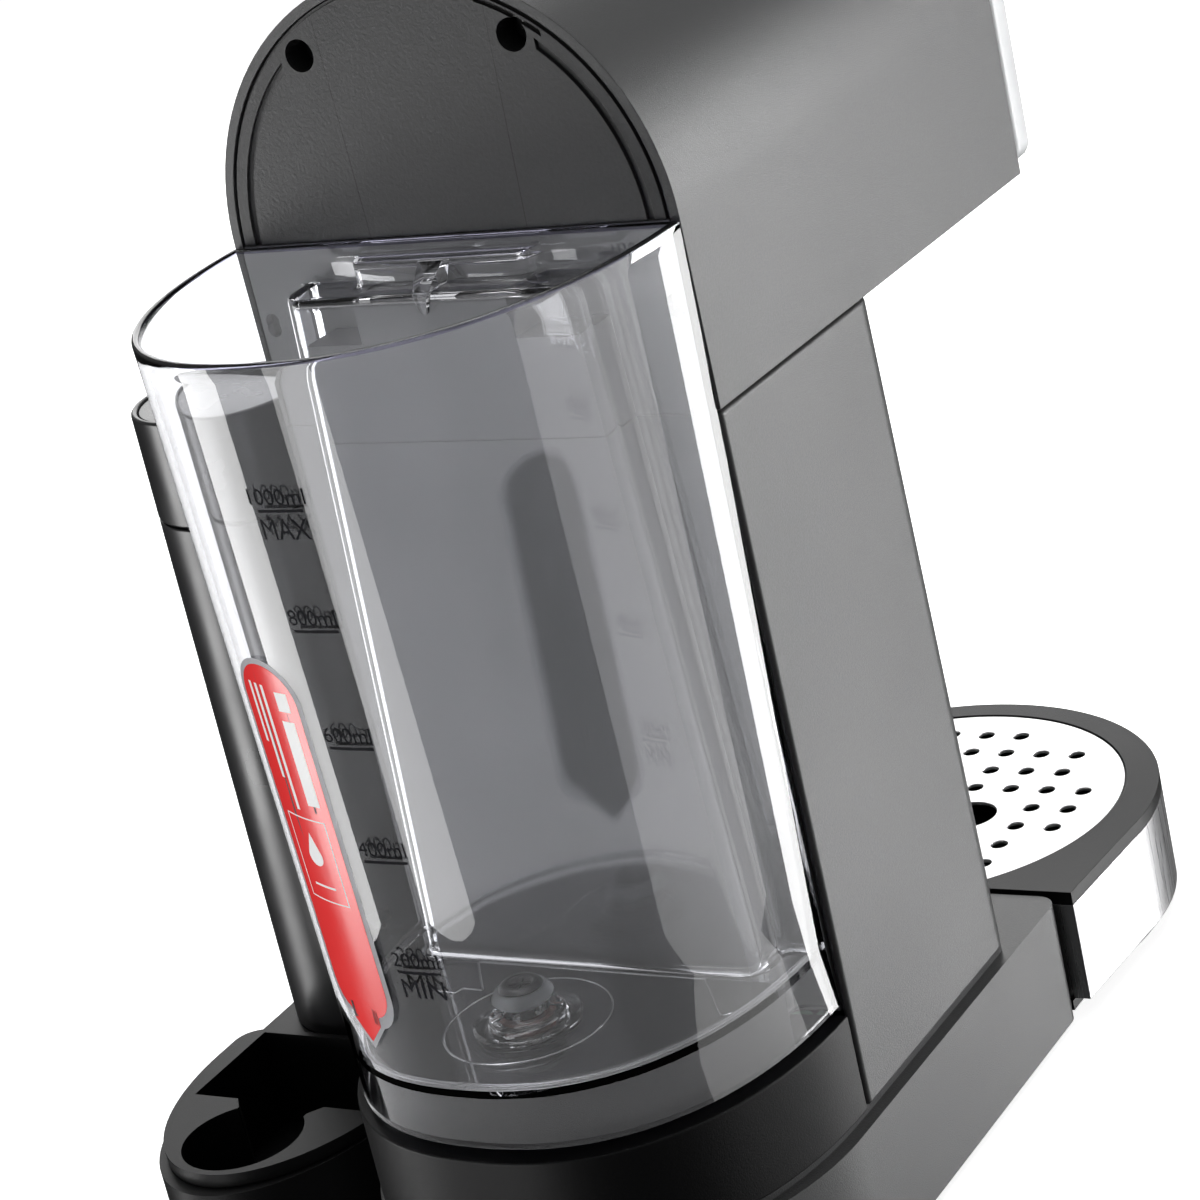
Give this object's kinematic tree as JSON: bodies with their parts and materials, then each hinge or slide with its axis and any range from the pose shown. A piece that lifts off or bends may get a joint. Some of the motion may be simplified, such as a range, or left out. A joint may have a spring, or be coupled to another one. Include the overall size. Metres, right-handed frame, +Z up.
{
  "type": "pod coffee machine",
  "caption": "Countertop pod coffee machine with a round-topped head, lift-off clear rear water tank, pull-out drip tray and a side dock with a whisk wand.",
  "frame": {"origin": "centre of the bounding box in plan, on the surface that the rubber feet stand on", "axes": "+Z up, -Y towards the front with the drip tray, +Y towards the water tank, +X towards the side dock"},
  "size_m": [0.2114, 0.326, 0.3424],
  "materials": {
    "charcoal_shell": "fine moulded texture",
    "black_shell": "fine moulded texture",
    "satin_black": "satin",
    "panel_black": "gloss",
    "silver_trim": "satin silver",
    "band_steel": "brushed",
    "grate_steel": "fine satin",
    "steel_parts": "plain",
    "clear_tank": "clear",
    "clear_valve": "clear",
    "status_white": "translucent",
    "red_label": "gloss print",
    "rubber_black": "matte",
    "silicone_clear": "satin",
    "silicone_red": "satin",
    "board_green": "solder mask",
    "heater_alu": "cast",
    "pump_body": "moulded",
    "ceramic_white": "bare",
    "cell_wrap": "wrapped"
  },
  "bodies": {
    "machine": {"base_housing": "charcoal_shell", "base_plate": "black_shell", "rubber_feet": "rubber_black", "base_screws": "steel_parts", "cord_gland": "rubber_black", "pedestal_shell": "black_shell", "inlet_socket": "black_shell", "inlet_seal": "silicone_red", "column_shell": "charcoal_shell", "rear_panel": "charcoal_shell", "head_shell": "charcoal_shell", "head_underside": "black_shell", "rear_cover": "black_shell", "rear_cover_screws": "satin_black", "front_bezel": "silver_trim", "front_panel": "panel_black", "status_lens": "status_white", "tact_switches": "satin_black", "control_board": "board_green", "power_board": "board_green", "pump": "pump_body", "pump_mounts": "rubber_black", "pump_bracket": "steel_parts", "suction_hose": "silicone_clear", "pressure_hose": "silicone_clear", "heater_bracket": "steel_parts", "heating_block": "heater_alu", "thermostats": "ceramic_white", "hot_water_hose": "silicone_clear", "water_port": "satin_black", "pod_chamber": "black_shell", "pod_holder": "black_shell", "lower_needle": "steel_parts", "spout": "black_shell", "hinge_pin": "steel_parts", "dock_housing": "black_shell", "dock_plate": "black_shell", "wand_tube": "satin_black"},
    "tank": {"tank_shell": "clear_tank", "tank_label": "red_label", "valve_body": "clear_valve", "valve_spring": "steel_parts"},
    "valve": {"valve_plunger": "satin_black", "plunger_seal": "silicone_clear"},
    "lid": {"brew_lid": "charcoal_shell", "lid_liner": "black_shell", "upper_needle": "steel_parts", "pod_seal": "silicone_red", "lid_grip": "silver_trim"},
    "power_key": {"power_button": "satin_black"},
    "small_cup_key": {"small_cup_button": "satin_black"},
    "large_cup_key": {"large_cup_button": "satin_black"},
    "tray": {"tray_basin": "black_shell", "tray_band": "band_steel"},
    "grate": {"tray_grate": "grate_steel"},
    "wand": {"wand_handle": "satin_black", "wand_motor": "steel_parts", "wand_cells": "cell_wrap"},
    "wand_key": {"wand_button": "satin_black"},
    "whisk_rotor": {"whisk": "steel_parts"}
  },
  "joints": [
    {"name": "tank_lift", "type": "slide", "parent": "machine", "child": "tank", "axis": [0, 0, 1], "range_m": [0, 0.2]},
    {"name": "valve_travel", "type": "slide", "parent": "tank", "child": "valve", "axis": [0, 0, 1], "range_m": [-0.0015, 0], "deforming": ["valve_spring"]},
    {"name": "lid_hinge", "type": "hinge", "parent": "machine", "child": "lid", "pos_m": [-0.0343, -0.02065, 0.3365], "axis": [-1, 0, 0], "range_deg": [0, 70]},
    {"name": "tray_slide", "type": "slide", "parent": "machine", "child": "tray", "axis": [0, -1, 0], "range_m": [0, 0.13]},
    {"name": "grate_lift", "type": "slide", "parent": "tray", "child": "grate", "axis": [0, 0, 1], "range_m": [0, 0.06]},
    {"name": "power_press", "type": "slide", "parent": "machine", "child": "power_key", "axis": [0, 1, 0], "range_m": [0, 0.001], "stiffness_N_per_m": 600},
    {"name": "small_cup_press", "type": "slide", "parent": "machine", "child": "small_cup_key", "axis": [0, 1, 0], "range_m": [0, 0.001], "stiffness_N_per_m": 600},
    {"name": "large_cup_press", "type": "slide", "parent": "machine", "child": "large_cup_key", "axis": [0, 1, 0], "range_m": [0, 0.001], "stiffness_N_per_m": 600},
    {"name": "wand_lift", "type": "slide", "parent": "machine", "child": "wand", "axis": [0, 0, 1], "range_m": [0, 0.15]},
    {"name": "wand_press", "type": "slide", "parent": "wand", "child": "wand_key", "axis": [0, 0, -1], "range_m": [0, 0.0012], "stiffness_N_per_m": 600},
    {"name": "whisk_spin", "type": "hinge", "parent": "wand", "child": "whisk_rotor", "pos_m": [0.0801, 0.03505, 0.0575], "axis": [0, 0, 1], "continuous": true}
  ],
  "couplings": [
    {"joint": "valve_travel", "follows": "tank_lift", "ratio": -0.0075}
  ]
}
